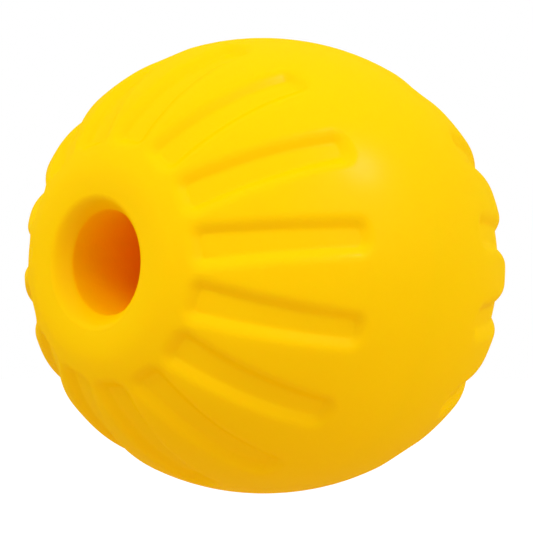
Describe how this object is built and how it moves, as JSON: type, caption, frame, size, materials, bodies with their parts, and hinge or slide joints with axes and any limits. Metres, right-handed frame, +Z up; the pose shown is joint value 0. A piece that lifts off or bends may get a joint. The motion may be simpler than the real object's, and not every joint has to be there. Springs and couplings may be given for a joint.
{
  "type": "floating dog ball",
  "caption": "Fluted rubber fetch ball with a straight bore for a rope from end to end and a closed-cell foam ring inside that keeps it afloat.",
  "frame": {"origin": "centre of the ball, halfway along the bore", "axes": "+Y along the bore, from the near mouth to the far one; +Z up; the near mouth faces -Y"},
  "size_m": [0.07, 0.0712, 0.07],
  "materials": {
    "skin_rubber": "satin yellow thermoplastic rubber, moulded, with a fine even grain",
    "core_foam": "pale closed-cell foam, matt",
    "adhesive": "cured clear adhesive, slightly yellow"
  },
  "bodies": {
    "root": {"near_half": "skin_rubber", "far_half": "skin_rubber", "float_core": "core_foam", "rim_bond": "adhesive", "bore_bond": "adhesive"}
  },
  "joints": []
}
